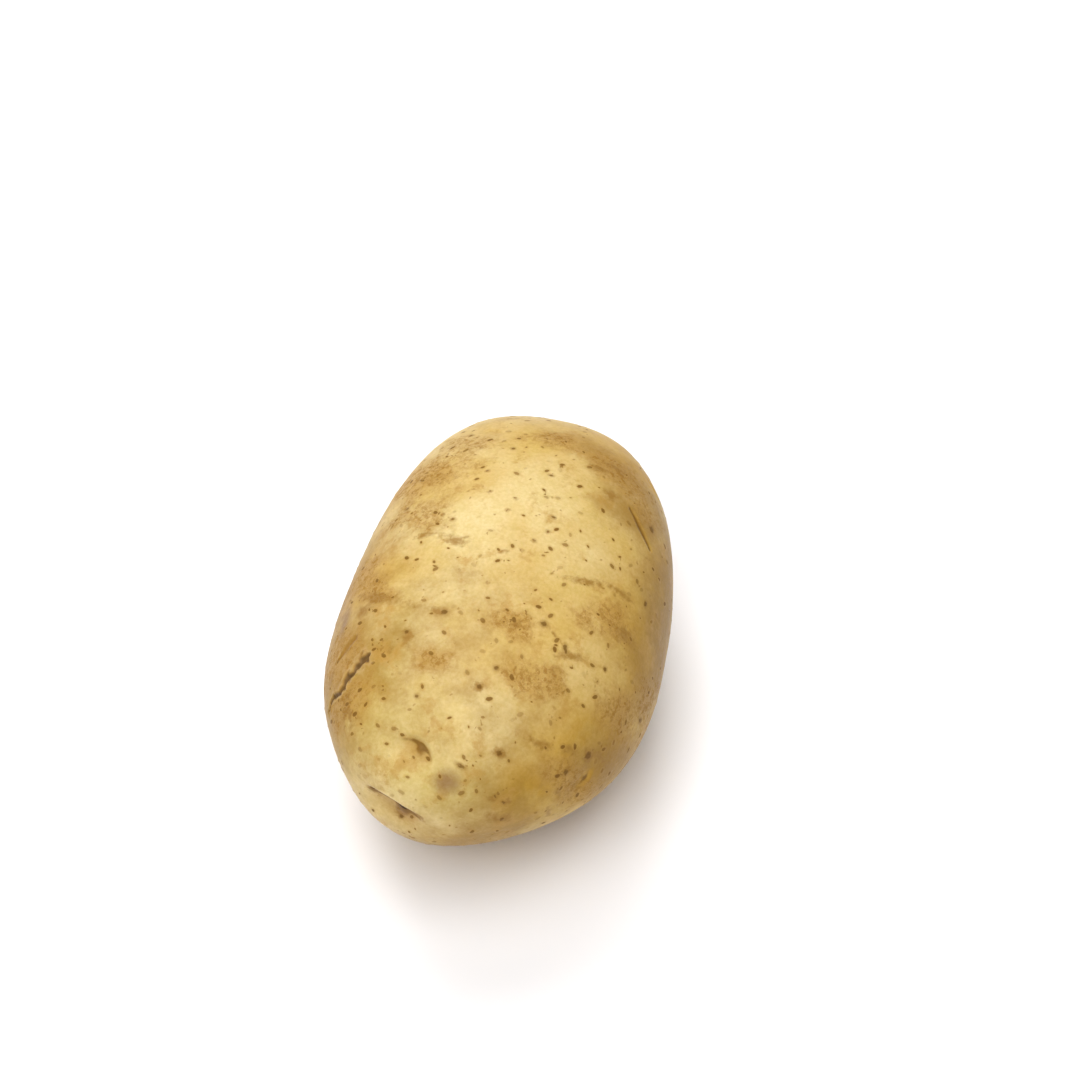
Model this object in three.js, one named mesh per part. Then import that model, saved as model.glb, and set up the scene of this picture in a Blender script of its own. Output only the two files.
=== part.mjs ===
// A whole table potato, lying on its broad side. It grew as one piece, so it is one solid.
// Millimetres, +Z up. The origin is on the surface that the potato lies on, under the middle
// of its box. The length runs along Y: the bud end, where the eyes crowd together, points to -Y,
// and the stem end, with the scar of its runner, points to +Y.
import * as THREE from "three";
import { mergeVertices } from "three/addons/utils/BufferGeometryUtils.js";

// Overall sizes.
const LENGTH = 100;
const WIDTH = 66;
const THICKNESS = 57;

// The belly is pressed flat by this much where the potato lies.
const FLAT_DEPTH = 0.5;

// The rounding of the body: 2 is an ellipsoid, and a larger number has fuller shoulders.
const FULLNESS = 2.07;
// Shares of the width and the thickness that the body gains towards the stem end.
const WIDTH_TAPER = -0.055;
const THICKNESS_TAPER = 0.043;
// How far the middle of the body bows, from the line of its ends, towards +X and downwards.
const SIDEWAYS_BOW = 3.6;
const DOWNWARD_BOW = 4.3;

// The body starts as an icosahedron, whose edges are each cut this many times.
const SKIN_CUTS = 17;

// Places on the skin are two angles seen from the middle, in degrees: "along" runs from the
// girdle towards the stem end, and "around" runs from the top towards +X.

// Broad swellings, and hollows where the rise is below 0. The reach is an angle, in degrees, and
// the rise is a share of the radius.
const SWELLINGS = [
  { along: -5, around: -72, reach: 27, rise: -0.04 },
  { along: 38, around: -62, reach: 34, rise: 0.04 },
  { along: 62, around: 0, reach: 34, rise: -0.06 },
  { along: 46, around: 62, reach: 34, rise: 0.055 },
  { along: 10, around: 92, reach: 34, rise: -0.055 },
  { along: -24, around: 108, reach: 34, rise: 0.03 },
  { along: -50, around: 125, reach: 34, rise: -0.07 },
  { along: -72, around: -170, reach: 34, rise: 0.02 },
  { along: -48, around: -105, reach: 34, rise: -0.095 },
  { along: -20, around: -85, reach: 34, rise: 0.03 },
];

// The eyes wind round the body and crowd together at the bud end. Each is a hollow under a raised
// brow that lies across the length, turned by some degrees. Sizes are in millimetres.
const EYES = [
  { along: 54, around: -29, length: 10, depth: 0.5, turn: -10 },
  { along: 38, around: -158, length: 13, depth: 1.1, turn: 6 },
  { along: 12, around: 108, length: 13, depth: 1.2, turn: -8 },
  { along: -4, around: -128, length: 13, depth: 1.2, turn: 10 },
  { along: -28, around: 150, length: 12, depth: 1.2, turn: 5 },
  { along: -42, around: -108, length: 12, depth: 1.3, turn: 14 },
  { along: -50, around: 79, length: 9, depth: 0.7, turn: -40 },
  { along: -60, around: 165, length: 11, depth: 1.3, turn: 8 },
  { along: -65, around: -10, length: 10, depth: 0.9, turn: -27 },
  { along: -77, around: -38, length: 14, depth: 1.8, turn: -47 },
];
// An eye's hollow has this share of its length from its deepest line to its rim, and its brow
// stands this share of its depth above the skin.
const HOLLOW_REACH = 0.33;
const BROW_RISE = 0.3;

// The stem end's scar is a round dimple.
const SCAR = { along: 84, around: 60, width: 9, depth: 1.6 };

const degrees = THREE.MathUtils.degToRad;

// The unit vector towards a place on the skin.
function towards({ along, around }) {
  const girdle = Math.cos(degrees(along));
  return new THREE.Vector3(
    girdle * Math.sin(degrees(around)),
    Math.sin(degrees(along)),
    girdle * Math.cos(degrees(around)),
  );
}

// A bell curve that is 1 in the middle and falls to 1/e at the reach.
function bell(distance, reach) {
  return Math.exp(-((distance / reach) ** 2));
}

// Moves each point of a geometry.
function reshape(geometry, move) {
  const positions = geometry.getAttribute("position");
  const point = new THREE.Vector3();
  for (let i = 0; i < positions.count; i++) {
    move(point.fromBufferAttribute(positions, i));
    positions.setXYZ(i, point.x, point.y, point.z);
  }
  positions.needsUpdate = true;
}

// A ball with fuller shoulders, swollen and hollowed, then tapered and bowed along its length.
function growBody() {
  const ball = new THREE.IcosahedronGeometry(1, SKIN_CUTS);
  ball.deleteAttribute("normal");
  ball.deleteAttribute("uv");
  const body = mergeVertices(ball);
  const swellings = SWELLINGS.map((swelling) => ({ ...swelling, middle: towards(swelling) }));
  reshape(body, (point) => {
    let radius = 1;
    for (const { middle, reach, rise } of swellings)
      radius += rise * bell(point.angleTo(middle), degrees(reach));
    const round =
      Math.abs(point.x) ** FULLNESS +
      Math.abs(point.y) ** FULLNESS +
      Math.abs(point.z) ** FULLNESS;
    point.multiplyScalar(radius / round ** (1 / FULLNESS));
    const middling = 1 - point.y ** 2;
    point.x *= 1 + WIDTH_TAPER * point.y;
    point.x += (SIDEWAYS_BOW / (WIDTH / 2)) * middling;
    point.z *= 1 + THICKNESS_TAPER * point.y;
    point.z -= (DOWNWARD_BOW / (THICKNESS / 2)) * middling;
  });
  return body;
}

// Brings the box of the body to a size, with its middle at the origin.
function fitToSize(body, size) {
  body.computeBoundingBox();
  const box = body.boundingBox;
  const middle = box.getCenter(new THREE.Vector3());
  const scale = size.clone().divide(box.getSize(new THREE.Vector3()));
  reshape(body, (point) => point.sub(middle).multiply(scale));
}

// The point of the skin at a place, and its outward direction, seen from the middle of the body.
function placeOnSkin(body, place) {
  const skin = new THREE.Mesh(body, new THREE.MeshBasicMaterial({ side: THREE.DoubleSide }));
  const ray = new THREE.Raycaster(new THREE.Vector3(), towards(place));
  const hit = ray.intersectObject(skin)[0];
  return { point: hit.point, normal: hit.face.normal.clone() };
}

// Presses an eye into the skin: a hollow on the bud side of a low brow.
function pressEye(body, eye) {
  const { point: middle, normal } = placeOnSkin(body, eye);
  const across = new THREE.Vector3(0, -1, 0).cross(towards(eye));
  across.projectOnPlane(normal).normalize().applyAxisAngle(normal, degrees(eye.turn));
  const budwards = normal.clone().cross(across);
  const reach = eye.length * HOLLOW_REACH;
  reshape(body, (point) => {
    const from = point.clone().sub(middle);
    const near = bell(from.dot(normal), eye.length) * bell(from.dot(across), eye.length / 2);
    const hollow = bell(from.dot(budwards) - reach / 2, reach);
    const brow = bell(from.dot(budwards) + reach, reach);
    point.addScaledVector(normal, eye.depth * near * (BROW_RISE * brow - hollow));
  });
}

// Presses the round dimple of the stem end.
function pressScar(body, scar) {
  const { point: middle, normal } = placeOnSkin(body, scar);
  reshape(body, (point) => {
    const depth = scar.depth * bell(point.distanceTo(middle), scar.width / 2);
    point.addScaledVector(normal, -depth);
  });
}

// Stands the body on its flat spot, with the origin under the middle of its box.
function layOnFlat(body) {
  const floor = (FLAT_DEPTH - THICKNESS) / 2;
  reshape(body, (point) => {
    point.z = Math.max(point.z, floor) - floor;
  });
}

function potatoGeometry() {
  const size = new THREE.Vector3(WIDTH, LENGTH, THICKNESS + FLAT_DEPTH);
  const body = growBody();
  fitToSize(body, size);
  for (const eye of EYES) pressEye(body, eye);
  pressScar(body, SCAR);
  fitToSize(body, size);
  layOnFlat(body);
  body.computeVertexNormals();
  return body;
}

const skin = new THREE.MeshStandardMaterial({
  color: 0xdcbf78,
  roughness: 0.5,
  metalness: 0,
});

const potato = new THREE.Mesh(potatoGeometry(), skin);
potato.name = "potato";

const part = new THREE.Group();
part.add(potato);

export default part;
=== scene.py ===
import math
from collections import namedtuple

import bmesh
import bpy
import numpy as np
from mathutils import Matrix, Vector
from mathutils.bvhtree import BVHTree
from mathutils.noise import noise as uneven_value


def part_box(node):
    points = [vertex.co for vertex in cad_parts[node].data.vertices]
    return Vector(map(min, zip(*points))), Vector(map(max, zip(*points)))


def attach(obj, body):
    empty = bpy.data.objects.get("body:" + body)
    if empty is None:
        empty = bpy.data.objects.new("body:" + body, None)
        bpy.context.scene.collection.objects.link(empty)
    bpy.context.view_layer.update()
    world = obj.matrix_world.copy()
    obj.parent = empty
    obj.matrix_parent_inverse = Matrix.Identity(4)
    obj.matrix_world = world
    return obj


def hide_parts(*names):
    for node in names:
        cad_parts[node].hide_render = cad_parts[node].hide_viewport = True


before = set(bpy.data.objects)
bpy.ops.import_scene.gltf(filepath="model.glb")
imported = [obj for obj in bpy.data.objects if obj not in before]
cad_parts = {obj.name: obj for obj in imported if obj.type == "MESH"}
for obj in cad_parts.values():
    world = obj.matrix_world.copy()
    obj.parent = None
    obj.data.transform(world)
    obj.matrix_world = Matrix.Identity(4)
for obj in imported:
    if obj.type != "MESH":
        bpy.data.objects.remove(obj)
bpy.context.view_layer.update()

MM = 0.001


# ---- Camera ---------------------------------------------------------------------------------
# A short telephoto lens looks down on the bud end, from a little to its right. The potato sits
# low in the picture, left of its middle.
lowest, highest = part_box("potato")
potato_middle = (lowest + highest) / 2

CAMERA_AZIMUTH = math.radians(16.6)
CAMERA_ELEVATION = math.radians(52)
CAMERA_DISTANCE = 511 * MM
CAMERA_LENS = 85
AIM_TO_THE_RIGHT = 7 * MM
AIM_ABOVE = 19 * MM

back = Vector((
    math.sin(CAMERA_AZIMUTH) * math.cos(CAMERA_ELEVATION),
    -math.cos(CAMERA_AZIMUTH) * math.cos(CAMERA_ELEVATION),
    math.sin(CAMERA_ELEVATION),
))
right = Vector((math.cos(CAMERA_AZIMUTH), math.sin(CAMERA_AZIMUTH), 0))
above = back.cross(right)

camera_data = bpy.data.cameras.new("camera")
camera_data.lens = CAMERA_LENS
camera_data.sensor_width = 36
camera_data.clip_start = 0.01
camera = bpy.data.objects.new("camera", camera_data)
aim = potato_middle + right * AIM_TO_THE_RIGHT + above * AIM_ABOVE
camera.matrix_world = Matrix.Translation(aim + back * CAMERA_DISTANCE) @ Matrix(
    (right, above, back)
).transposed().to_4x4()
bpy.context.scene.collection.objects.link(camera)
bpy.context.scene.camera = camera


# ---- Table and light ------------------------------------------------------------------------
# A smooth white sheet under three soft boxes: a wide one overhead, one behind on the left, and a
# weaker one in front that fills the shadows.
FLOOR_SIZE = 3.6
SHEET_WHITE = (0.93, 0.92, 0.93, 1)

floor_mesh = bpy.data.meshes.new("table")
half = FLOOR_SIZE / 2
floor_mesh.from_pydata(
    [(-half, -half, 0), (half, -half, 0), (half, half, 0), (-half, half, 0)], [], [(0, 1, 2, 3)]
)
floor = bpy.data.objects.new("table", floor_mesh)
bpy.context.scene.collection.objects.link(floor)
floor_material = bpy.data.materials.new("white sheet")
floor_material.use_nodes = True
sheet = floor_material.node_tree.nodes["Principled BSDF"]
sheet.inputs["Base Color"].default_value = SHEET_WHITE
sheet.inputs["Roughness"].default_value = 0.9
sheet.inputs["Specular IOR Level"].default_value = 0.1
floor_mesh.materials.append(floor_material)

SOFT_BOX_DISTANCE = 4.4


def add_soft_box(name, direction, size, power):
    """Adds a square lamp, in metres and watts, that faces the potato from a direction."""
    light_data = bpy.data.lights.new(name, "AREA")
    light_data.size = size
    light_data.energy = power
    light = bpy.data.objects.new(name, light_data)
    place = potato_middle + Vector(direction).normalized() * SOFT_BOX_DISTANCE
    light.location = place
    light.rotation_euler = (place - potato_middle).to_track_quat("Z", "Y").to_euler()
    bpy.context.scene.collection.objects.link(light)


add_soft_box("overhead soft box", (0, -0.25, 1), 3.6, 172)
add_soft_box("back left soft box", (-0.3, 0.5, 0.7), 2.8, 122)
add_soft_box("front fill", (-0.15, -0.65, 0.6), 3.6, 60)

# The room looks white, but adds little light of its own.
ROOM_LIGHT = 0.1
ROOM_WHITE = (1.0, 0.99, 0.98, 1)

room = bpy.data.worlds.new("white room")
room.use_nodes = True
walls = room.node_tree.nodes["Background"]
seen = room.node_tree.nodes.new("ShaderNodeLightPath").outputs["Is Camera Ray"]
brightness = room.node_tree.nodes.new("ShaderNodeMapRange")
brightness.inputs["To Min"].default_value = ROOM_LIGHT
room.node_tree.links.new(seen, brightness.inputs["Value"])
room.node_tree.links.new(brightness.outputs["Result"], walls.inputs["Strength"])
walls.inputs["Color"].default_value = ROOM_WHITE
bpy.context.scene.world = room
bpy.context.scene.view_settings.view_transform = "Standard"


# ---- Potato body ----------------------------------------------------------------------------
# One tuber, grown whole: pale yellow flesh under a thin skin. Its round body keeps the shape of
# the CAD solid, on a fine mesh that is finer still round the eyes and the scars.
FINE_LEVELS = 2
SAME_POINT = 0.001 * MM

merged = bmesh.new()
merged.from_mesh(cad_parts["potato"].data)
bmesh.ops.remove_doubles(merged, verts=merged.verts, dist=SAME_POINT)
body_mesh = bpy.data.meshes.new("body")
merged.to_mesh(body_mesh)
merged.free()
body_mesh.attributes.remove(body_mesh.attributes["custom_normal"])
body = bpy.data.objects.new("body", body_mesh)
bpy.context.scene.collection.objects.link(body)
rounding = body.modifiers.new("rounding", "SUBSURF")
rounding.levels = FINE_LEVELS
rounding.render_levels = FINE_LEVELS


def finished_mesh(piece):
    """The piece's mesh with its modifiers applied."""
    bpy.context.view_layer.update()
    finished = piece.evaluated_get(bpy.context.evaluated_depsgraph_get())
    return bpy.data.meshes.new_from_object(finished)


body_mesh = finished_mesh(body)
bpy.data.objects.remove(body)
smooth_body = BVHTree.FromPolygons(
    [vertex.co for vertex in body_mesh.vertices],
    [polygon.vertices for polygon in body_mesh.polygons],
)


# Places on the skin are two angles seen from the middle, in degrees: "along" runs from the
# girdle towards the stem end, and "around" runs from the top towards +X.
def place_on_skin(along, around):
    """The point of the skin at a place, its outward normal, and the way across the length."""
    along, around = math.radians(along), math.radians(around)
    outwards = Vector((
        math.cos(along) * math.sin(around),
        math.sin(along),
        math.cos(along) * math.cos(around),
    ))
    point, normal = smooth_body.ray_cast(potato_middle, outwards)[:2]
    across = Vector((0, -1, 0)).cross(outwards)
    across = (across - normal * across.dot(normal)).normalized()
    return point, normal, across


class Patch:
    """A place on the skin with its own flat axes in millimetres: across, budwards and out."""

    def __init__(self, along, around, turn=0):
        self.point, self.out, across = place_on_skin(along, around)
        self.across = Matrix.Rotation(math.radians(turn), 3, self.out) @ across
        self.budwards = self.out.cross(self.across)

    def measure(self, points):
        """Where each point lies along the three axes."""
        from_here = (points - np.array(self.point)) / MM
        axes = np.array((self.across, self.budwards, self.out)).T
        return (from_here @ axes).T


# ---- Eyes and wounds ------------------------------------------------------------------------
# The eyes wind round the body and crowd together at the bud end. Each is a hollow of some depth
# under a brow, the scar of a scale leaf, which bends budwards at its ends by the sag. A small bud
# stands in the hollow, across from the brow's middle by some offset, and some eyes are darker.
Eye = namedtuple("Eye", "along around turn brow sag depth bud offset dark")
EYES = [
    Eye(54, -29, -10, brow=5, sag=0.6, depth=0.2, bud=0, offset=0, dark=0.3),
    Eye(38, -158, 6, brow=11, sag=2.2, depth=0.65, bud=0.5, offset=0.5, dark=1.2),
    Eye(12, 108, -8, brow=11, sag=2.3, depth=0.65, bud=0.5, offset=0, dark=1.3),
    Eye(-4, -128, 10, brow=11, sag=2.1, depth=0.75, bud=0.6, offset=-0.8, dark=1.4),
    Eye(-28, 150, 5, brow=10, sag=1.9, depth=0.65, bud=0.5, offset=0.3, dark=1.2),
    Eye(-42, -108, 14, brow=10, sag=2.0, depth=0.7, bud=0.5, offset=0, dark=1.3),
    Eye(-50, 79, -62, brow=5, sag=1.0, depth=0.4, bud=0.2, offset=0, dark=0.7),
    Eye(-60, 165, 8, brow=8, sag=1.7, depth=0.6, bud=0.5, offset=-0.3, dark=1.2),
    Eye(-65, -11, -27, brow=8.5, sag=1.9, depth=0.45, bud=0.45, offset=-0.6, dark=1.1),
    Eye(-77, -38, -45, brow=13, sag=1.4, depth=0.85, bud=0.5, offset=-2.0, dark=1.7),
]
eye_patches = [Patch(eye.along, eye.around, eye.turn) for eye in EYES]

# Wounds and creases are thin grooves along a few places, each with its width and its depth.
GOUGE = [
    (-43, -42, 0.7), (-44, -45, 2.3), (-46.5, -49, 0.8), (-47, -52, 1.6), (-50, -57, 0.9),
    (-49.5, -63, 1.1), (-52, -71, 0.5),
]
SIDE_CREASE = [(37, 42, 0.5), (32, 48, 1.0), (27, 55, 0.6)]
END_CREASE = [(56, 54, 0.3), (54, 58, 0.5), (52, 62, 0.3)]
NICK = [(-36, -52, 1.1), (-38, -56, 1.5), (-40, -60, 0.6)]
FAR_OUTSIDE = -9.0


def along_path(points, path):
    """How far inside a path of (along, around, width) each point lies: 1 on its middle line."""
    inside = np.full(len(points), FAR_OUTSIDE)
    stops = [(np.array(place_on_skin(along, around)[0]), width) for along, around, width in path]
    for (start, start_width), (end, end_width) in zip(stops, stops[1:]):
        run = end - start
        share = np.clip((points - start) @ run / (run @ run), 0, 1)
        gap = np.linalg.norm(points - start - share[:, None] * run, axis=1) / MM
        half_width = (start_width + (end_width - start_width) * share) / 2
        inside = np.maximum(inside, 1 - gap / half_width)
    return inside


# The skin round the eyes and the wounds is cut once more, so that their edges stay crisp.
FINEST_MARGIN = 1.0
EYE_FLATNESS = 1.2

fine = bmesh.new()
fine.from_mesh(body_mesh)
fine.edges.ensure_lookup_table()
middles = np.array([(edge.verts[0].co + edge.verts[1].co) / 2 for edge in fine.edges])
near = np.zeros(len(middles), bool)
for eye, patch in zip(EYES, eye_patches):
    u, v, w = patch.measure(middles)
    reach = eye.brow / 2 + FINEST_MARGIN
    near |= (np.hypot(u, (v - eye.sag) * EYE_FLATNESS) < reach) & (np.abs(w) < reach)
for path in (GOUGE, SIDE_CREASE, END_CREASE, NICK):
    wider = [(along, around, width + 2 * FINEST_MARGIN) for along, around, width in path]
    near |= along_path(middles, wider) > 0
bmesh.ops.subdivide_edges(
    fine,
    edges=[edge for edge, chosen in zip(fine.edges, near) if chosen],
    cuts=1,
    use_grid_fill=True,
)
bmesh.ops.triangulate(fine, faces=[face for face in fine.faces if len(face.verts) > 4])
fine.to_mesh(body_mesh)
fine.free()

count = len(body_mesh.vertices)
skin_points = np.empty(count * 3, np.float32)
body_mesh.vertices.foreach_get("co", skin_points)
skin_points = skin_points.reshape(-1, 3).astype(float)
points = skin_points.copy()


def bell(distance, reach):
    """1 at no distance, falling to 1/e at the reach."""
    return np.exp(-((distance / reach) ** 2))


def ease(value, low, high):
    """0 below low and 1 above high, with a smooth rise between them."""
    share = np.clip((value - low) / (high - low), 0, 1)
    return share * share * (3 - 2 * share)


def keep_on_mesh(name, values):
    """Stores a number for each vertex, which the skin's material reads by its name."""
    layer = body_mesh.attributes.new(name, "FLOAT", "POINT")
    layer.data.foreach_set("value", np.asarray(values, np.float32))


# The shape that all eyes share. These are millimetres, measured inwards from the brow.
WALL_TOP = -0.3
WALL_FOOT = 0.9
LIP_WIDTH = 0.6
LINE_WIDTH = 0.45
SOCKET_DROP = 0.6
# These are shares of the brow's length.
HOLLOW_FALL = 0.32
BUD_REACH = 0.36
BUD_WIDTH = 0.13
SOCKET_WIDTH = 0.11
# These are shares of the hollow's depth.
LIP_RISE = 0.25
LINE_DROP = 1.9

eye_line = np.zeros(count)
eye_hollow = np.zeros(count)
eye_bud = np.zeros(count)
for eye, patch in zip(EYES, eye_patches):
    u, v, w = patch.measure(skin_points)
    close = np.abs(w) < eye.brow
    span = np.clip(1 - (2 * u / eye.brow) ** 2, 0, 1) * close
    inward = v - eye.sag * ((2 * u / eye.brow) ** 2 - 0.5)
    fall = HOLLOW_FALL * eye.brow
    near_bud = bell(u - eye.offset, BUD_REACH * eye.brow)
    wall = ease(inward, WALL_TOP, WALL_FOOT) * bell(np.maximum(inward - WALL_FOOT, 0), fall)
    lip = bell(inward + LIP_WIDTH, LIP_WIDTH)
    from_bud = np.hypot(u - eye.offset, inward + WALL_TOP - 0.5 * fall)
    bud = bell(from_bud, BUD_WIDTH * eye.brow) * close
    pressed = LIP_RISE * lip - wall * (0.7 + 0.3 * near_bud)
    rise = span ** 0.6 * eye.depth * pressed + eye.bud * bud
    points += rise[:, None] * np.array(patch.out) * MM

    past_foot = inward - LINE_DROP * eye.depth
    line = span ** 0.4 * bell(past_foot, LINE_WIDTH) * (0.35 + 0.4 * near_bud)
    # The socket is the deepest pocket, which the skin's material paints near black as painted
    # shade.
    aside = (u - eye.offset) / (SOCKET_WIDTH * eye.brow)
    socket = bell(np.hypot(aside, past_foot - SOCKET_DROP), 1) * close
    eye_line = np.maximum(eye_line, eye.dark * (line + 0.6 * socket))
    eye_hollow = np.maximum(eye_hollow, eye.dark * span ** 0.7 * wall * (0.3 + 0.7 * near_bud))
    eye_bud = np.maximum(eye_bud, eye.dark * (eye.bud > 0) * bud)
keep_on_mesh("eye_line", eye_line)
keep_on_mesh("eye_hollow", eye_hollow)
keep_on_mesh("eye_bud", eye_bud)

# The wounds follow the skin's own outward directions. The gouge has a jagged edge and a rim.
GOUGE_DEPTH = 0.5
GOUGE_RIM = 0.15
GOUGE_JAGGEDNESS = 1.2
JAG_SIZE = 1.1 * MM
STILL_NEAR = -3
CREASE_DEPTH = 0.3

normals = np.empty(count * 3, np.float32)
body_mesh.vertex_normals.foreach_get("vector", normals)
normals = normals.reshape(-1, 3)
gouge = along_path(skin_points, GOUGE)
for index in np.nonzero(gouge > STILL_NEAR)[0]:
    gouge[index] += GOUGE_JAGGEDNESS * uneven_value(Vector(skin_points[index]) / JAG_SIZE)
crease = np.maximum(along_path(skin_points, SIDE_CREASE), along_path(skin_points, END_CREASE))
nick = along_path(skin_points, NICK)
rise = -GOUGE_DEPTH * ease(gouge, -0.2, 0.8) + GOUGE_RIM * bell(gouge + 0.9, 0.7)
rise -= CREASE_DEPTH * (ease(crease, -1.0, 0.9) + ease(nick, -0.6, 0.9))
points += rise[:, None] * normals * MM
keep_on_mesh("gouge", gouge)
keep_on_mesh("crease", crease)
keep_on_mesh("nick", nick)


# ---- Stem scar ------------------------------------------------------------------------------
# The tuber hung on a runner, which left a round scar in the dimple of the stem end: a low ring
# round a pit. Nothing of the skin goes under the table.
SCAR = Patch(84, 60)
SCAR_RING = 2.0
SCAR_RING_WIDTH = 0.6
SCAR_RING_RISE = 0.35
SCAR_PIT = 1.1
SCAR_PIT_DEPTH = 0.5
SAME_SIDE = 8
FAR_AWAY = 99

u, v, w = SCAR.measure(skin_points)
from_scar = np.where(np.abs(w) < SAME_SIDE, np.hypot(u, v), FAR_AWAY)
rise = SCAR_RING_RISE * bell(from_scar - SCAR_RING, SCAR_RING_WIDTH)
rise -= SCAR_PIT_DEPTH * bell(from_scar, SCAR_PIT)
points += rise[:, None] * normals * MM
keep_on_mesh("from_scar", from_scar)
points[:, 2] = np.maximum(points[:, 2], 0)
body_mesh.vertices.foreach_set("co", points.astype(np.float32).ravel())


# ---- Marks on the skin ----------------------------------------------------------------------
# Rubbing, soil and age mark the skin with dark spots, brown and russet patches and bruises, and
# light turns it green. Each mark is (along, around, length, width), and some have a turn as well.
# It is kept as how far inside it a point lies, 1 at its middle and 0 at its edge.
DARK_SPOTS = [
    (-25, 25, 1.5, 1.2), (-29, 36, 2.0, 1.0, -60), (-61, 31, 1.5, 1.2), (-47, 68, 2.0, 1.6, 30),
    (-54, 65, 1.4, 1.3), (-67, 15, 2.0, 0.8, -11), (-31, -14, 1.6, 1.2), (-50, 10, 1.1, 1.0),
    (-44, 14, 1.0, 0.9), (18, -4, 0.9, 0.8), (13, 14, 0.9, 0.8), (1, 7, 1.0, 0.6, -20),
    (35, 54, 1.6, 1.8), (6, 59, 1.5, 1.0, 80), (-26, 53, 1.0, 0.9), (-31, 52, 1.0, 0.8),
    (17, -48, 1.2, 0.9), (30, -48, 1.2, 0.8), (50, -39, 1.2, 0.9), (-25, 82, 1.6, 1.0),
    (-38, -27, 1.1, 0.9), (-55, -16, 1.0, 0.8), (46, -14, 1.0, 0.9), (34, -19, 0.9, 0.8),
    (30, -31, 0.9, 0.7), (25, -14, 0.9, 0.7, 20), (24, -3, 0.9, 0.7), (10, -24, 0.9, 0.7),
    (38, 7, 1.0, 0.7), (44, -28, 0.9, 0.7), (7, 10, 1.0, 0.8), (20, 14, 1.0, 0.8),
    (12, -29, 0.9, 0.7), (-17, -1, 0.7, 0.6), (-69, 52, 1.2, 0.7), (-69, 44, 0.9, 0.6),
    (-73, -55, 1.6, 0.9, -45), (-81, -11, 1.6, 0.8, -50), (-82, -52, 1.3, 0.9), (-72, 65, 1.2, 1.0),
    (-80, -45, 1.2, 0.9), (-80, -22, 1.6, 0.9, -45),
]
BROWN_PATCHES = [
    (0, -20, 7.0, 2.2, -10), (2, -33, 5.0, 1.6, 10), (-24, -44, 17.0, 2.6, -17),
    (-31, -17, 4.0, 2.0), (-27, -51, 4.5, 3.4), (-24, -66, 5.0, 2.4, 39), (-40, -26, 5.0, 2.0, -71),
    (-44, -66, 5.0, 2.2, 48), (-54, -53, 6.5, 2.4, 69), (-30, 39, 6.0, 1.6, 25),
    (-27, 31, 4.0, 0.8, -30), (-2, 33, 9.0, 1.6, 20), (2, 48, 8.0, 1.8), (-71, 65, 4.0, 2.4),
    (-70, 44, 1.6, 1.2), (-68, 54, 1.8, 1.2), (-54, 46, 6.0, 1.6, 18), (38, 33, 4.0, 3.0),
    (50, 35, 6.0, 3.0), (-50, 10, 2.4, 2.0), (-59, -51, 2.4, 1.6), (-43, -33, 1.8, 1.4),
    (-29, 15, 3.0, 2.0), (-2, 0, 3.0, 1.2, 30), (-61, 31, 3.0, 2.2), (-47, 68, 3.6, 3.0),
    (-73, 58, 5.0, 3.0), (-81, -48, 3.4, 2.4), (-73.5, -55, 4.0, 2.6, -45),
    (-82, -12, 3.0, 1.6, -50), (-56, -51, 5.0, 2.0, -60), (-11, 55, 6.0, 3.5), (47, 26, 6.0, 1.6),
    (-50, 58, 4.0, 2.0, 20), (-44, 74, 4.0, 1.6, 10), (-58, 72, 3.0, 1.6), (-62, 84, 4.0, 1.4),
    (20, 150, 8.0, 3.0, 20), (-15, 118, 6.0, 2.5), (45, 120, 6.0, 3.0), (10, -165, 7.0, 2.0),
    (-30, -150, 6.0, 2.0), (25, -100, 9.0, 2.0, 15), (-60, 120, 5.0, 2.0),
]
RUSSET_PATCHES = [
    (54, 4, 16, 8), (50, 35, 20, 10, -20), (40, 48, 12, 10, -30), (32, -47, 24, 15),
    (46, -38, 16, 10), (14, -44, 20, 9, -10), (-40, -62, 18, 16), (-9, 49, 12, 9), (-15, 38, 7, 5),
    (-30, 70, 18, 14), (-42, 30, 16, 8, 20), (-53, -50, 14, 12), (-54, 74, 22, 9, 15),
    (-20, -48, 16, 7, -20), (-9, -60, 14, 8), (-46, -13, 10, 6), (-20, 82, 16, 12),
    (-29, 15, 12, 7), (70, 90, 24, 18), (78, -90, 22, 16), (20, 140, 26, 16), (-40, 140, 20, 14),
    (-10, -110, 22, 12, 10), (40, -120, 24, 16), (-70, -120, 16, 12), (5, 175, 20, 16),
]
BRUISES = [(-71, 11, 5.6, 5.2), (-27, -62, 3.5, 8.0), (12, 128, 6.0, 5.0)]
GREEN_PLACES = [
    (-60, -40, 34, 18), (-72, 10, 34, 14), (-50, -35, 12, 20), (-42, -30, 8, 24),
]
# Partly weathered brown, partly painted shade: both flanks are painted darker.
WEATHERED_AND_SHADED_PLACES = [
    (-43, -74, 60, 42), (50, 36, 34, 12, -25), (36, 46, 22, 14), (-42, 82, 30, 18, 30),
    (64, 150, 50, 40), (0, -120, 60, 30), (10, 74, 26, 50), (-80, 130, 50, 26), (-12, -80, 30, 30),
]
# Partly the skin's own gold, partly painted shade and warm bounce: the right flank is darker.
GOLDEN_AND_SHADED_PLACES = [
    (-20, 90, 68, 66), (30, 70, 36, 44), (-45, 75, 44, 44), (54, 52, 34, 20), (-64, 62, 24, 18),
    (-10, -70, 40, 22), (30, -70, 50, 22), (-20, 180, 90, 90), (78, 90, 60, 60), (10, -120, 60, 40),
]


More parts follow.
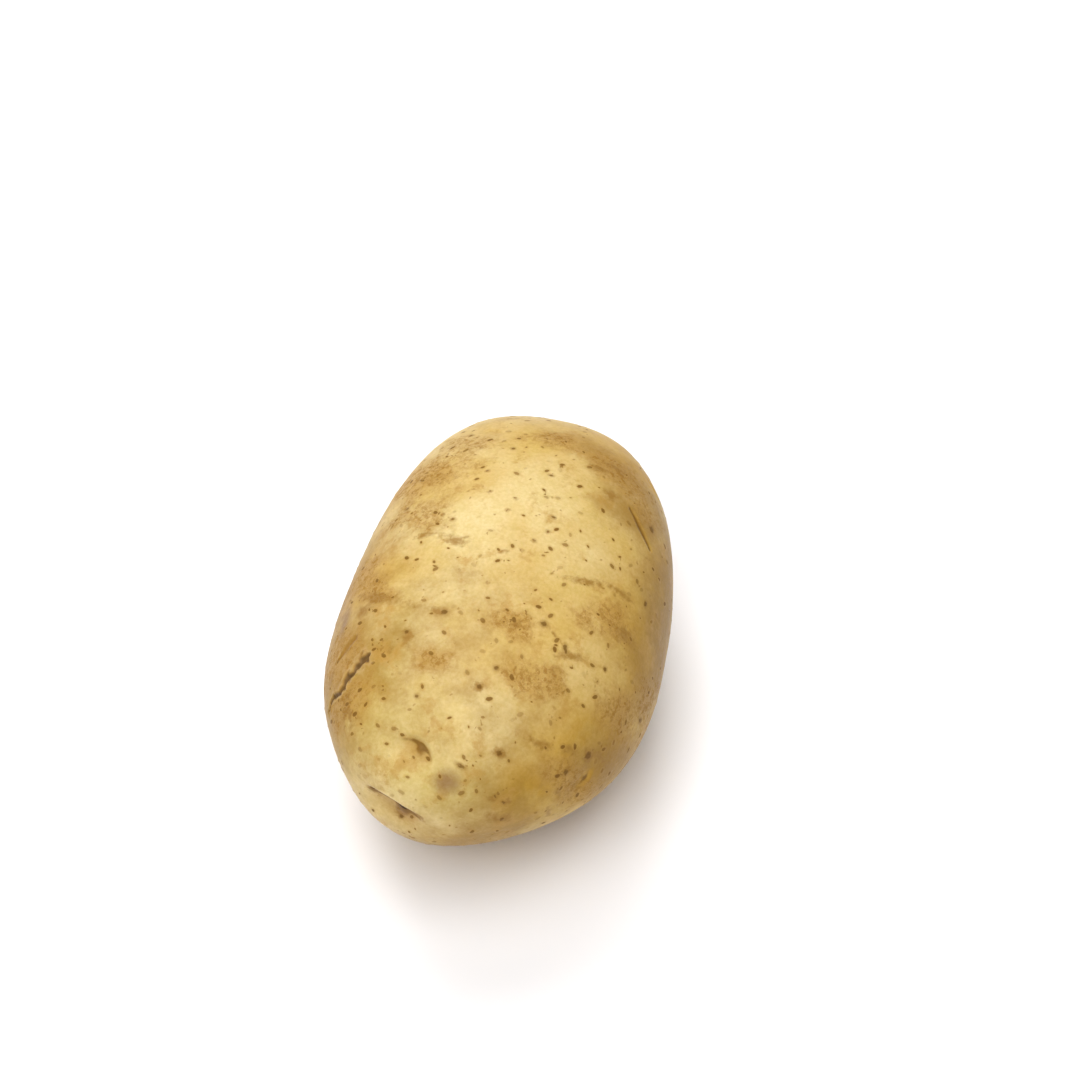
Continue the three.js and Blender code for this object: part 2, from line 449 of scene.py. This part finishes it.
def inside_marks(marks):
    """How far inside any of the marks each point of the skin lies."""
    inside = np.full(count, FAR_OUTSIDE)
    for along, around, length, width, *turn in marks:
        u, v, w = Patch(along, around, *turn).measure(skin_points)
        far = np.hypot(u / (length / 2), v / (width / 2))
        far = np.maximum(far, 2 * np.abs(w) / max(length, width))
        inside = np.maximum(inside, 1 - far)
    return inside


# The golden and weathered marks are partly painted shade on the flanks.
for name, marks in (
    ("dark_spot", DARK_SPOTS), ("brown_patch", BROWN_PATCHES), ("russet", RUSSET_PATCHES),
    ("bruise", BRUISES), ("green", GREEN_PLACES), ("golden_and_shade", GOLDEN_AND_SHADED_PLACES),
    ("weathered_and_shade", WEATHERED_AND_SHADED_PLACES),
):
    keep_on_mesh(name, inside_marks(marks))


# ---- Pores ----------------------------------------------------------------------------------
# The skin breathes through lenticels, corky pores of half a millimetre to a millimetre. They are
# scattered over it, each a low brown bump, round or drawn out along the surface.
potato = bpy.data.objects.new("potato_tuber", body_mesh)
bpy.context.scene.collection.objects.link(potato)
body_mesh.polygons.foreach_set("use_smooth", [True] * len(body_mesh.polygons))
skin = bpy.data.materials.new("potato skin")
skin.use_nodes = True

pores = bpy.data.node_groups.new("pores", "GeometryNodeTree")
pores.is_modifier = True
PORE_INPUTS = [
    ("Closest spacing", "NodeSocketFloat", 1.8 * MM),
    ("Most in a square metre", "NodeSocketFloat", 75000),
    ("Smallest size", "NodeSocketFloat", 0.15 * MM),
    ("Largest size", "NodeSocketFloat", 0.58 * MM),
    ("Height", "NodeSocketFloat", 0.09 * MM),
    ("Unevenness", "NodeSocketFloat", 0.35 * MM),
    ("Seed", "NodeSocketInt", 7),
    ("Skin", "NodeSocketMaterial", skin),
]
pores.interface.new_socket("Geometry", in_out="INPUT", socket_type="NodeSocketGeometry")
pores.interface.new_socket("Geometry", in_out="OUTPUT", socket_type="NodeSocketGeometry")
for name, kind, _ in PORE_INPUTS:
    pores.interface.new_socket(name, in_out="INPUT", socket_type=kind)


def feed(tree, socket, value):
    """Gives a socket a value, or links another node's output to it."""
    if isinstance(value, bpy.types.NodeSocket):
        tree.links.new(value, socket)
    else:
        socket.default_value = value


def place_node(tree, kind, settings=None, **inputs):
    """Adds a node and returns its outputs. Inputs go by their names, or by numbers such as _0."""
    node = tree.nodes.new(kind)
    for name, value in (settings or {}).items():
        setattr(node, name, value)
    for name, value in inputs.items():
        key = int(name[1:]) if name[0] == "_" else name.replace("_", " ")
        feed(tree, node.inputs[key], value)
    return node.outputs


def pore_math(operation, a, b=0.0):
    return place_node(pores, "ShaderNodeMath", {"operation": operation}, _0=a, _1=b)[0]


def pore_vector(operation, a, b=(0, 0, 0), output="Vector"):
    return place_node(pores, "ShaderNodeVectorMath", {"operation": operation}, _0=a, _1=b)[output]


given = pores.nodes.new("NodeGroupInput").outputs
scattered = place_node(
    pores, "GeometryNodeDistributePointsOnFaces", {"distribute_method": "POISSON"},
    Mesh=given["Geometry"], Distance_Min=given["Closest spacing"],
    Density_Max=given["Most in a square metre"], Seed=given["Seed"],
)
here = place_node(pores, "GeometryNodeInputPosition")[0]
outwards = place_node(pores, "GeometryNodeInputNormal")[0]
nearest = place_node(
    pores, "GeometryNodeSampleNearest", {"domain": "POINT"}, Geometry=scattered["Points"]
)[0]


def of_nearest_pore(value, data_type):
    """What the value is at the pore nearest to each point of the skin."""
    return place_node(
        pores, "GeometryNodeSampleIndex", {"data_type": data_type, "domain": "POINT"},
        Geometry=scattered["Points"], Value=value, Index=nearest,
    )["Value"]


def random_number(low, high, seed):
    """A number of its own for each pore."""
    node = pores.nodes.new("FunctionNodeRandomValue")
    node.data_type = "FLOAT"
    for name, value in (("Min", low), ("Max", high)):
        socket = next(s for s in node.inputs if s.name == name and s.type == "VALUE")
        feed(pores, socket, value)
    node.inputs["Seed"].default_value = seed
    return next(s for s in node.outputs if s.type == "VALUE" and s.enabled)


# A pore's way is the direction in which it is drawn out: level, turned by up to some angle.
LARGEST_TURN = 1.2
TO_STEM_END = (0.0, 1.0, 0.0)
pore_middle = of_nearest_pore(here, "FLOAT_VECTOR")
random_size = random_number(given["Smallest size"], given["Largest size"], 1)
pore_size = of_nearest_pore(random_size, "FLOAT")
pore_tone = of_nearest_pore(random_number(0.0, 1.0, 2), "FLOAT")
turn = random_number(-LARGEST_TURN, LARGEST_TURN, 3)
level = pore_vector("NORMALIZE", pore_vector("CROSS_PRODUCT", scattered["Normal"], TO_STEM_END))
tilted = place_node(
    pores, "ShaderNodeVectorRotate", {"rotation_type": "AXIS_ANGLE"},
    Vector=level, Axis=scattered["Normal"], Angle=turn,
)[0]
pore_way = of_nearest_pore(tilted, "FLOAT_VECTOR")

# A pore's colour reaches this far from its middle, and fades over the last part.
PORE_REACH = 0.9 * MM
PORE_FULL_REACH = 0.65 * MM
away = pore_vector("DISTANCE", here, pore_middle, output="Value")
pore_near = place_node(
    pores, "ShaderNodeMapRange", {"interpolation_type": "SMOOTHSTEP"},
    Value=away, From_Min=PORE_REACH, From_Max=PORE_FULL_REACH, To_Min=0.0, To_Max=1.0,
)[0]

# The bump of each pore is a bell curve. The whole skin is a little uneven besides.
BUMP_REACH = 1.1
UNEVEN_PATCH = 11 * MM
how_far = pore_math("DIVIDE", away, pore_math("MULTIPLY", pore_size, BUMP_REACH))
bump = pore_math("EXPONENT", pore_math("MULTIPLY", pore_math("POWER", how_far, 2.0), -1.0))
uneven = place_node(
    pores, "ShaderNodeTexNoise", {"noise_dimensions": "3D"},
    Vector=here, Scale=1 / UNEVEN_PATCH, Detail=2.0, Roughness=0.45,
)[0]
rise = pore_math(
    "ADD",
    pore_math("MULTIPLY", bump, given["Height"]),
    pore_math("MULTIPLY", pore_math("SUBTRACT", uneven, 0.5), given["Unevenness"]),
)

marked = given["Geometry"]
for name, data_type, value in (
    ("pore_middle", "FLOAT_VECTOR", pore_middle),
    ("pore_way", "FLOAT_VECTOR", pore_way),
    ("pore_size", "FLOAT", pore_size),
    ("pore_tone", "FLOAT", pore_tone),
    ("pore_near", "FLOAT", pore_near),
):
    marked = place_node(
        pores, "GeometryNodeStoreNamedAttribute", {"data_type": data_type, "domain": "POINT"},
        Geometry=marked, Name=name, Value=value,
    )["Geometry"]
lift = place_node(
    pores, "ShaderNodeVectorMath", {"operation": "SCALE"}, _0=outwards, Scale=rise
)["Vector"]
raised = place_node(pores, "GeometryNodeSetPosition", Geometry=marked, Offset=lift)[0]
whole = place_node(pores, "GeometryNodeRealizeInstances", Geometry=raised)[0]
finished = place_node(pores, "GeometryNodeSetMaterial", Geometry=whole, Material=given["Skin"])[0]
pores.links.new(finished, pores.nodes.new("NodeGroupOutput").inputs["Geometry"])

porous = potato.modifiers.new("pores", "NODES")
porous.node_group = pores
identifiers = {
    item.name: item.identifier for item in pores.interface.items_tree if item.in_out == "INPUT"
}
for name, _, value in PORE_INPUTS:
    porous[identifiers[name]] = value
skin_mesh = finished_mesh(potato)
potato.modifiers.clear()
potato.data = skin_mesh
potato.data.name = "potato_tuber"

# No pore's bump goes under the table.
places = np.empty(len(skin_mesh.vertices) * 3, np.float32)
skin_mesh.vertices.foreach_get("co", places)
places[2::3] = np.maximum(places[2::3], 0)
skin_mesh.vertices.foreach_set("co", places)


# ---- Skin -----------------------------------------------------------------------------------
# Washed potato skin is a thin corky film over pale yellow flesh, with a soft gloss. It turns
# golden to russet where it is older, green where it lay in the light, and brown at every scar.
# Its flanks are also painted darker gold and dull brown, which is painted shade.
tree = skin.node_tree
shader = tree.nodes["Principled BSDF"]


def number(operation, a, b=0.0):
    return place_node(tree, "ShaderNodeMath", {"operation": operation}, _0=a, _1=b)[0]


def times(a, b):
    return number("MULTIPLY", a, b)


def around_zero(value, strength):
    """Turns noise between 0 and 1 into noise on both sides of 0, with this strength."""
    return times(number("SUBTRACT", value, 0.5), strength)


def vector(operation, a, b, output="Vector"):
    return place_node(tree, "ShaderNodeVectorMath", {"operation": operation}, _0=a, _1=b)[output]


def fade(value, low, high, to_low=0.0, to_high=1.0):
    """to_low where the value is below low, to_high where it is above high, smooth between them."""
    return place_node(
        tree, "ShaderNodeMapRange", {"interpolation_type": "SMOOTHSTEP"},
        Value=value, From_Min=low, From_Max=high, To_Min=to_low, To_Max=to_high,
    )[0]


def stored(name, output="Fac"):
    """What the mesh keeps under this name."""
    return place_node(tree, "ShaderNodeAttribute", {"attribute_name": name})[output]


def noise(size, detail=2.0, roughness=0.5, at=None, output="Fac"):
    """Noise between 0 and 1 whose largest grains are this many millimetres."""
    return place_node(
        tree, "ShaderNodeTexNoise",
        Vector=at or millimetres, Scale=1 / size, Detail=detail, Roughness=roughness,
    )[output]


def tint(base, colour, amount):
    """The base colour with this amount of it, from 0 to 1, replaced by the other colour."""
    return place_node(
        tree, "ShaderNodeMix", {"data_type": "RGBA"}, _0=amount, _6=base, _7=colour
    )[2]


CREAM = (0.69, 0.54, 0.25, 1)
YELLOW = (0.62, 0.45, 0.145, 1)
# The gold is partly painted shade: darker than the skin's own gold, to stand in for shade.
GOLD_AND_SHADE = (0.50, 0.275, 0.022, 1)
OLIVE = (0.49, 0.38, 0.10, 1)
TAN = (0.45, 0.26, 0.06, 1)
# A dull brown, for weathered skin and also for painted shade on the flanks.
WEATHERED_AND_SHADE = (0.31, 0.165, 0.022, 1)
UMBER = (0.30, 0.155, 0.028, 1)
RUSSET = (0.31, 0.15, 0.026, 1)
PORE = (0.19, 0.09, 0.012, 1)
DARK_SCAR = (0.16, 0.075, 0.01, 1)
BRUISED = (0.27, 0.15, 0.06, 1)
CRUST = (0.14, 0.075, 0.025, 1)
CORK = (0.52, 0.36, 0.15, 1)
# Near black, painted shade for the deepest pocket of an eye.
POCKET_SHADE = (0.03, 0.012, 0.003, 1)

# Ragged places wander by up to a millimetre, so that what follows them has no straight edge.
WANDER = 1.6
metres = place_node(tree, "ShaderNodeTexCoord")["Object"]
millimetres = vector("MULTIPLY", metres, (1 / MM, 1 / MM, 1 / MM))
wander = vector("SUBTRACT", noise(1.6, 3.0, 0.6, output="Color"), (0.5, 0.5, 0.5))
ragged = vector("ADD", millimetres, vector("MULTIPLY", wander, (WANDER, WANDER, WANDER)))
broad = noise(18, 2.0, 0.5)
patchy = noise(6, 4.0, 0.6, at=ragged)
grainy = noise(1.1, 5.0, 0.62)

# The ground colour is cream and turns golden, yellow, olive or dull brown from place to place.
# The golden and the dull brown on the flanks are partly painted shade.
golden_and_shade_share = number("ADD", stored("golden_and_shade"), around_zero(broad, 1.3))
colour = tint(CREAM, GOLD_AND_SHADE, fade(golden_and_shade_share, -0.35, 0.85, 0.0, 0.95))
colour = tint(colour, YELLOW, fade(noise(9, 3.0, 0.55, at=ragged), 0.44, 0.66, 0.0, 0.4))
green_share = fade(number("ADD", stored("green"), around_zero(patchy, 1.0)), -0.4, 0.9, 0.0, 0.42)
colour = tint(colour, OLIVE, green_share)
# Dull brown: partly weathering, partly painted shade on the flanks.
weathered_and_shade_share = number("ADD", stored("weathered_and_shade"), around_zero(patchy, 1.4))
colour = tint(colour, WEATHERED_AND_SHADE, fade(weathered_and_shade_share, -0.4, 0.8, 0.0, 0.85))

# Scuffs: soft brown clouds all over, finely broken at their edges.
cloudy = noise(7, 5.0, 0.66, at=ragged)
colour = tint(colour, TAN, fade(cloudy, 0.52, 0.68, 0.0, 0.72))

# Russeting: fine corky veins and grains inside its patches.
russet_share = fade(number("ADD", stored("russet"), around_zero(patchy, 2.4)), -0.3, 0.8)
from_vein = number("ABSOLUTE", around_zero(noise(2.2, 4.0, 0.62, at=ragged), 1.0))
vein = fade(from_vein, 0.0, 0.045, 1.0, 0.0)
russet_grain = number("MAXIMUM", times(vein, 0.7), fade(grainy, 0.49, 0.62))
colour = tint(colour, TAN, times(russet_share, 0.6))
colour = tint(colour, RUSSET, times(times(russet_share, russet_grain), 0.75))

# The hollows of the eyes are tan inside.
colour = tint(colour, TAN, fade(stored("eye_hollow"), 0.0, 0.6, 0.0, 0.6))

# Brown patches have ragged, fading edges, and bruises have soft ones.
rough_edge = around_zero(grainy, 2.4)
brown_share = number("ADD", stored("brown_patch"), rough_edge)
brown_share = number("ADD", brown_share, around_zero(patchy, 1.2))
colour = tint(colour, UMBER, fade(brown_share, -0.4, 0.9, 0.0, 0.85))
bruise_share = number("ADD", stored("bruise"), times(rough_edge, 0.2))
colour = tint(colour, BRUISED, fade(bruise_share, -0.4, 0.9, 0.0, 0.85))

# Pores: a dark core, drawn out along the surface, with a soft brown ring.
DRAWN_OUT = 0.6
from_middle = vector("SUBTRACT", metres, stored("pore_middle", "Vector"))
lengthwise = vector("DOT_PRODUCT", from_middle, stored("pore_way", "Vector"), output="Value")
saved = times(times(lengthwise, lengthwise), DRAWN_OUT)
squared = vector("DOT_PRODUCT", from_middle, from_middle, output="Value")
squared = number("MAXIMUM", number("SUBTRACT", squared, saved), 0.0)
from_pore = number("DIVIDE", number("SQRT", squared), stored("pore_size"))
from_pore = number("ADD", from_pore, around_zero(noise(0.5, 2.0), 0.5))
tone = number("ADD", stored("pore_tone"), around_zero(broad, 1.2))
tone = number("ADD", tone, times(russet_share, 0.45))
near_pore = fade(stored("pore_near"), 0.0, 0.6)
core = times(fade(from_pore, 0.55, 0.9, 1.0, 0.0), fade(tone, -0.1, 0.9, 0.15, 0.95))
ring = times(fade(from_pore, 0.6, 2.0, 1.0, 0.0), fade(tone, -0.1, 0.9, 0.1, 0.5))
pore = times(core, near_pore)
colour = tint(colour, TAN, times(ring, near_pore))
colour = tint(colour, PORE, pore)

# Fine specks between the pores, and more of them in the russet.
SPECK_SPACING = 2.0
cells = place_node(
    tree, "ShaderNodeTexVoronoi", {"feature": "F1"}, Vector=ragged, Scale=1 / SPECK_SPACING
)
speck_tone = place_node(tree, "ShaderNodeSeparateColor", Color=cells["Color"])[0]
speck_tone = number("ADD", speck_tone, times(russet_share, 0.4))
speck = times(fade(cells["Distance"], 0.07, 0.17, 1.0, 0.0), fade(speck_tone, 0.4, 1.0, 0.0, 0.7))
colour = tint(colour, UMBER, speck)

# Dark spots have a brown halo.
spot_edge = around_zero(noise(0.9, 3.0, 0.6), 1.1)
in_spot = number("ADD", stored("dark_spot"), spot_edge)
dark_share = fade(in_spot, -0.1, 0.4, 0.0, 0.85)
colour = tint(colour, UMBER, fade(in_spot, -1.1, 0.1, 0.0, 0.5))
colour = tint(colour, DARK_SCAR, dark_share)

# Eyes: a brown hollow with a darker line under its brow, and painted shade, near black, where
# the bud sits deepest.
hollow_share = number("ADD", stored("eye_hollow"), times(rough_edge, 0.25))
bud_share = number("ADD", stored("eye_bud"), times(rough_edge, 0.3))
line_share = number("ADD", stored("eye_line"), times(rough_edge, 0.2))
colour = tint(colour, UMBER, fade(hollow_share, 0.45, 1.1, 0.0, 0.35))
colour = tint(colour, UMBER, fade(bud_share, 0.35, 0.9, 0.0, 0.8))
colour = tint(colour, PORE, fade(line_share, 0.15, 0.75, 0.0, 0.9))
# Painted shade: the deepest pocket of the eye is painted near black.
colour = tint(colour, POCKET_SHADE, fade(line_share, 1.45, 1.8, 0.0, 0.95))

# Wounds: the gouge has healed to a grey-brown crust with a pale corky edge. The creases and the
# nick are plain brown.
gouge_share = number("ADD", stored("gouge"), times(spot_edge, 0.9))
colour = tint(colour, CORK, fade(gouge_share, -1.8, -0.5, 0.0, 0.5))
colour = tint(colour, UMBER, fade(gouge_share, -0.9, 0.0, 0.0, 0.7))
colour = tint(colour, CRUST, fade(gouge_share, -0.3, 0.5, 0.0, 0.9))
colour = tint(colour, PORE, fade(stored("crease"), -0.6, 0.6, 0.0, 0.85))
nick_share = number("ADD", stored("nick"), times(spot_edge, 0.8))
colour = tint(colour, UMBER, fade(nick_share, -1.2, 0.4, 0.0, 0.9))

# The stem scar: a brown collar round a dark dry pit.
out_from_scar = number("ADD", stored("from_scar"), around_zero(noise(1.8, 3.0, 0.6), 1.6))
colour = tint(colour, TAN, fade(out_from_scar, 2.4, 5.0, 0.9, 0.0))
colour = tint(colour, UMBER, fade(out_from_scar, 1.7, 2.6, 0.85, 0.0))
colour = tint(colour, CORK, fade(out_from_scar, 1.2, 1.8, 0.5, 0.0))
colour = tint(colour, CRUST, fade(out_from_scar, 0.6, 1.3, 0.9, 0.0))

# A little light and shade from grain to grain. The darker grains are warmer too.
GREEN_POWER = 1.4
BLUE_POWER = 3.0
mottle = number(
    "ADD",
    fade(noise(0.7, 3.0, 0.6), 0.3, 0.7, 0.94, 1.03),
    fade(noise(3.2, 3.0, 0.5), 0.3, 0.7, -0.03, 0.02),
)
mottles = place_node(
    tree, "ShaderNodeCombineXYZ",
    _0=mottle,
    _1=number("POWER", mottle, GREEN_POWER),
    _2=number("POWER", mottle, BLUE_POWER),
)[0]
tree.links.new(vector("MULTIPLY", colour, mottles), shader.inputs["Base Color"])

# The film over the flesh has a soft gloss, and every scar and pore is duller.
scarred = number("MAXIMUM", times(russet_share, russet_grain), number("MAXIMUM", pore, dark_share))
roughness = number("ADD", fade(scarred, 0.0, 0.8, 0.45, 0.64), around_zero(grainy, 0.25))
tree.links.new(roughness, shader.inputs["Roughness"])
shader.inputs["IOR"].default_value = 1.42
shader.inputs["Specular IOR Level"].default_value = 0.25
shader.inputs["Specular Tint"].default_value = (1.0, 0.9, 0.7, 1)
shader.inputs["Subsurface Weight"].default_value = 0.15
shader.inputs["Subsurface Radius"].default_value = (1.0, 0.5, 0.15)
shader.inputs["Subsurface Scale"].default_value = 2.5 * MM

# The finest relief, in millimetres: a grain, soft ripples, raised scars and sunk pore cores.
relief = around_zero(noise(0.45, 4.0, 0.6), 0.035)
relief = number("ADD", relief, times(noise(2.4, 3.0, 0.5, at=ragged), 0.10))
relief = number("ADD", relief, times(scarred, 0.05))
relief = number("SUBTRACT", relief, times(pore, 0.07))
bumps = place_node(tree, "ShaderNodeBump", Strength=1.0, Distance=MM, Height=relief)[0]
tree.links.new(bumps, shader.inputs["Normal"])

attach(potato, "root")
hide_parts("potato")
